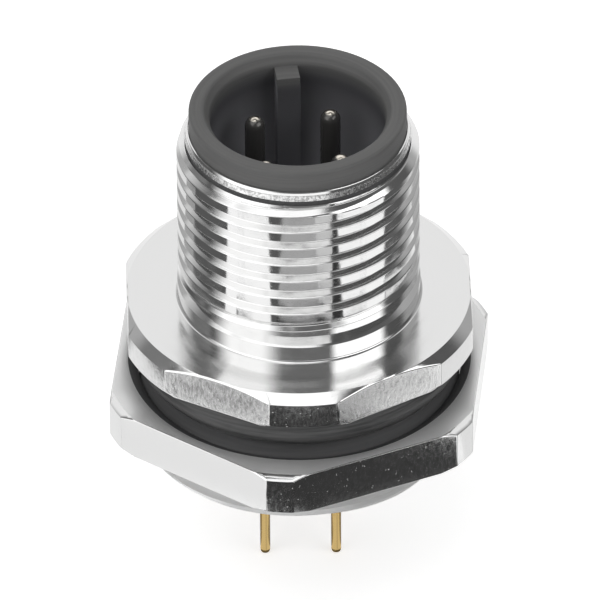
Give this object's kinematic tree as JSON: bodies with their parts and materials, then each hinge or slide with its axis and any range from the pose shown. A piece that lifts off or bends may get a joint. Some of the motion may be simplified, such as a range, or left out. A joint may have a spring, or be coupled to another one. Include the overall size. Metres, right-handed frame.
{
  "type": "m12 panel receptacle",
  "caption": "Round screw-locked panel receptacle with pin contacts, a hex flange, a rubber panel seal, a hex nut and straight solder tails.",
  "frame": {"origin": "on the axis, in the plane of the flange's underside", "axes": "+Z along the axis to the mating end, +Y to the key of the contact carrier"},
  "size_m": [0.0196, 0.0198, 0.0262],
  "materials": {
    "nickel_plate": "turned brass, bright nickel plating, satin on the flats",
    "carrier_plastic": "dark grey moulded plastic, fine matte grain",
    "inner_rubber": "plain rubber",
    "disc_plastic": "black moulded plastic",
    "seal_rubber": "black rubber with fine circular streaks",
    "gold_plate": "turned contacts with a gold plating"
  },
  "bodies": {
    "receptacle": {"shell": "nickel_plate", "contact_carrier": "carrier_plastic", "inner_seal": "inner_rubber", "rear_disc": "disc_plastic", "panel_seal": "seal_rubber", "contact_1": "gold_plate", "contact_2": "gold_plate", "contact_3": "gold_plate", "contact_4": "gold_plate"},
    "nut": {"hex_nut": "nickel_plate"}
  },
  "joints": [
    {"name": "nut_turn", "type": "hinge", "parent": "receptacle", "child": "nut", "pos_m": [0, 0, -0.00337], "axis": [0, 0, 1], "range_deg": [-1090, 50]}
  ]
}
